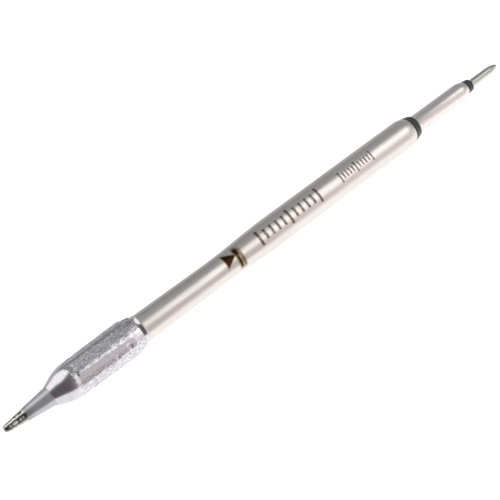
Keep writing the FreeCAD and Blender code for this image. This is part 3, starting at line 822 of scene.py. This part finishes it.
contact = turn([
    (TUBE_START, CONDUCTOR_BORE),
    (TUBE_START, TUBE_SHANK),
    (FRONT_RING_END + FIT_GAP, TUBE_SHANK),
    (FRONT_RING_END + FIT_GAP, 1.87),
    (TUBE_COLLAR_END, TUBE_RADIUS),
    (TUBE_END - 1.0, TUBE_RADIUS, 0.5),
    (TUBE_END, 1.3, 0.05),
    (TUBE_END, TUBE_BORE),
    (REAR_BUSH_START - FIT_GAP, TUBE_BORE),
    (REAR_BUSH_START - FIT_GAP, PIN_SHANK + FIT_GAP),
    (CONDUCTOR_STOP, PIN_SHANK + FIT_GAP),
    (CONDUCTOR_STOP, CONDUCTOR_BORE),
])

# Satin nickel plating: a soft silver, faintly pink, with tool lines drawn 0.2 mm apart
satin_nickel, place = new_finish("satin_nickel_plating")
tool_way = add_node(satin_nickel, "Mapping", {"Scale": (1.0, 0.06, 0.06)}, {"Vector": place})
tooling = add_node(satin_nickel, "TexNoise", {"Scale": 1 / (0.2 * MM), "Detail": 3.0},
                   {"Vector": tool_way})
handling = add_node(satin_nickel, "TexNoise", {"Scale": 1 / (0.6 * MM), "Detail": 3.0},
                    {"Vector": place})
plate = add_node(satin_nickel, "Mix",
                 {"data_type": "RGBA", 6: linear("#eae4e0"), 7: linear("#d6cfcb")}, {0: handling})
satin = add_node(satin_nickel, "MapRange", {"To Min": 0.26, "To Max": 0.4}, {"Value": handling})
tool_lines = add_node(satin_nickel, "Bump", {"Strength": 0.12, "Distance": 0.01 * MM},
                      {"Height": tooling})
surface = add_node(satin_nickel, "BsdfPrincipled", {"Metallic": 1.0},
                   {"Base Color": plate.outputs[2], "Roughness": satin, "Normal": tool_lines})
add_node(satin_nickel, "OutputMaterial", links={"Surface": surface})
place_piece(contact, "contact_tube", [satin_nickel])


# Contact pin
# A turned pin with a thin shank, crimped on the rod inside the rear insulator, a coned collar
# and a rounded point that the handle's rear contact touches.

PIN_START, PIN_END = ends_of("contact_pin")
PIN_COLLAR_END = REAR_RING_END + FIT_GAP + 0.45
PIN_RADIUS = 0.71
ROD_BORE = 0.34
ROD_STOP = 95.4

pin = turn([
    (PIN_START, ROD_BORE),
    (PIN_START, PIN_SHANK),
    (REAR_RING_END + FIT_GAP, PIN_SHANK),
    (REAR_RING_END + FIT_GAP, 0.93),
    (PIN_COLLAR_END, PIN_RADIUS),
    (PIN_END - 1.5, PIN_RADIUS, 0.59),
    (PIN_END, 0.26, 0.16),
    (PIN_END, 0),
    (ROD_STOP, 0),
    (ROD_STOP, ROD_BORE),
], steps=96)

# Nickel plating dulled by the handle's spring: greenish grey silver with rubbed streaks
dulled_nickel, place = new_finish("dulled_nickel_plating")
streak_way = add_node(dulled_nickel, "Mapping", {"Scale": (0.15, 1.0, 1.0)}, {"Vector": place})
streaks = add_node(dulled_nickel, "TexNoise", {"Scale": 1 / (0.25 * MM), "Detail": 3.0},
                   {"Vector": streak_way})
streaked = add_node(dulled_nickel, "Mix",
                    {"data_type": "RGBA", 6: linear("#cfd0c8"), 7: linear("#a7a89d")},
                    {0: streaks})
wear = add_node(dulled_nickel, "MapRange", {"To Min": 0.25, "To Max": 0.42}, {"Value": streaks})
surface = add_node(dulled_nickel, "BsdfPrincipled", {"Metallic": 1.0},
                   {"Base Color": streaked.outputs[2], "Roughness": wear})
add_node(dulled_nickel, "OutputMaterial", links={"Surface": surface})
place_piece(pin, "contact_pin", [dulled_nickel])


# Table
# A plain white table top. It shows white to the camera, and in the metal it is white in front
# of the cartridge, less so at the bit, and grey beyond it, as the photograph's edges show.

table_mesh = bpy.data.meshes.new("white_table")
table_top = bmesh.new()
bmesh.ops.create_grid(table_top, x_segments=1, y_segments=1, size=6.0)
table_top.to_mesh(table_mesh)
table_top.free()
table = bpy.data.objects.new("white_table", table_mesh)
bpy.context.scene.collection.objects.link(table)

# Matt white laminate: even, without grain, and lifted to pure white where the camera sees it
table_finish, place = new_finish("matt_white_laminate")
ray = add_node(table_finish, "LightPath")
mirrored = add_node(table_finish, "Math", {"operation": "MAXIMUM"},
                    {0: ray.outputs["Is Glossy Ray"], 1: ray.outputs["Is Transmission Ray"]})
on_table = add_node(table_finish, "SeparateXYZ", links={0: place})
beside_sleeve = add_node(table_finish, "MapRange",
                         {"From Min": -45 * MM, "From Max": -41 * MM,
                          "To Min": 0.6, "To Max": 0.84}, {"Value": on_table.outputs[0]})
near_half = add_node(table_finish, "MapRange",
                     {"From Min": 1.5 * MM, "From Max": -1.5 * MM, "To Min": 0.05},
                     {"Value": on_table.outputs[1], "To Max": beside_sleeve})
in_metal = add_node(table_finish, "Math", {"operation": "MULTIPLY"}, {0: mirrored, 1: near_half})
table_glow = add_node(table_finish, "Math", {"operation": "MULTIPLY_ADD", 1: 0.66},
                      {0: ray.outputs["Is Camera Ray"], 2: in_metal})
white_top = add_node(table_finish, "BsdfDiffuse", {"Color": linear("#f2f2f2")})
lifted = add_node(table_finish, "Emission", {"Color": (1, 1, 1, 1)}, {"Strength": table_glow})
both = add_node(table_finish, "AddShader", links={0: white_top, 1: lifted})
add_node(table_finish, "OutputMaterial", links={"Surface": both})
table_mesh.materials.append(table_finish)


# Studio light
# Two large soft boxes, one over the sleeve and one beyond the bit, in a grey room that is
# bright in front of the cartridge and darker just behind the camera.


def soft_box(name, degrees_along, degrees_across, width, height, brightness, distance=0.6):
    """A soft box in that direction from the cartridge, of that size in metres."""
    along, across = math.radians(degrees_along), math.radians(degrees_across)
    towards = Vector((math.sin(along), math.cos(along) * math.sin(across),
                      math.cos(along) * math.cos(across)))
    lamp = bpy.data.lights.new(name, "AREA")
    lamp.shape = "RECTANGLE"
    lamp.size, lamp.size_y = width, height
    lamp.energy = brightness * math.pi * width * height
    box = bpy.data.objects.new(name, lamp)
    box.location = towards * distance
    box.rotation_euler = towards.to_track_quat("Z", "Y").to_euler()
    bpy.context.scene.collection.objects.link(box)


soft_box("soft_box_over_sleeve", degrees_along=27, degrees_across=-19,
         width=0.48, height=0.41, brightness=1.42)
soft_box("soft_box_beyond_bit", degrees_along=-26, degrees_across=45,
         width=0.52, height=0.76, brightness=1.08)

# The room's brightness by direction, in linear light: how far it points to the rear of the
# cartridge, and how many radians it leans from straight up, below 0 on the camera's side
room = bpy.data.worlds.new("grey_room")
bpy.context.scene.world = room
room.use_nodes = True
room.node_tree.nodes.clear()
direction = add_node(room, "TexCoord").outputs["Generated"]
points = add_node(room, "SeparateXYZ", links={0: direction})
rearwards = points.outputs[0]
leaning = add_node(room, "Math", {"operation": "ARCTAN2"},
                   {0: points.outputs[1], 1: points.outputs[2]})
near_level = add_node(room, "MapRange",
                      {"From Min": 0.28, "From Max": 0.42, "To Min": 0.63, "To Max": 0.92},
                      {"Value": rearwards})
near_wall = add_node(room, "Mix", {"data_type": "RGBA", 6: (0, 0, 0, 1), 7: (1.0, 0.92, 0.92, 1)},
                     {0: near_level})
far_level = add_node(room, "MapRange", {"From Min": 0.29, "From Max": 0.46},
                     {"Value": rearwards})
far_wall = add_node(room, "Mix",
                    {"data_type": "RGBA", 6: (0.262, 0.268, 0.278, 1), 7: (0.38, 0.39, 0.405, 1)},
                    {0: far_level})
near_side = add_node(room, "MapRange", {"From Min": -0.5, "From Max": -0.95}, {"Value": leaning})
walls = add_node(room, "Mix", {"data_type": "RGBA"},
                 {0: near_side, 6: far_wall.outputs[2], 7: near_wall.outputs[2]})
behind_camera = window(room, leaning, middle=-0.75, outer=0.88, inner=0.7)
over_bit = add_node(room, "MapRange", {"From Min": 0.12, "From Max": -0.2}, {"Value": rearwards})
shade = add_node(room, "Math", {"operation": "MULTIPLY"}, {0: behind_camera, 1: over_bit})
shaded = add_node(room, "Mix", {"data_type": "RGBA", 7: (0.15, 0.125, 0.14, 1)},
                  {0: shade, 6: walls.outputs[2]})
room_glow = add_node(room, "Background", {"Strength": 1.0}, {"Color": shaded.outputs[2]})
add_node(room, "OutputWorld", links={"Surface": room_glow})


# Camera
# It stands near the working end and looks down along the cartridge, as the photograph was
# taken. The cartridge runs from the lower left corner to the upper right one.

view = bpy.data.cameras.new("photo_view")
view.lens = 72.0
view.sensor_width = 36.0
view.clip_start = 0.01
camera = bpy.data.objects.new("photo_view", view)
camera.location = (-68.61 * MM, -68.11 * MM, 134.03 * MM)
camera.rotation_euler = Vector((0.3845, 0.4240, -0.8200)).to_track_quat("-Z", "Y").to_euler()
bpy.context.scene.collection.objects.link(camera)
bpy.context.scene.camera = camera
bpy.context.scene.view_settings.view_transform = "Standard"
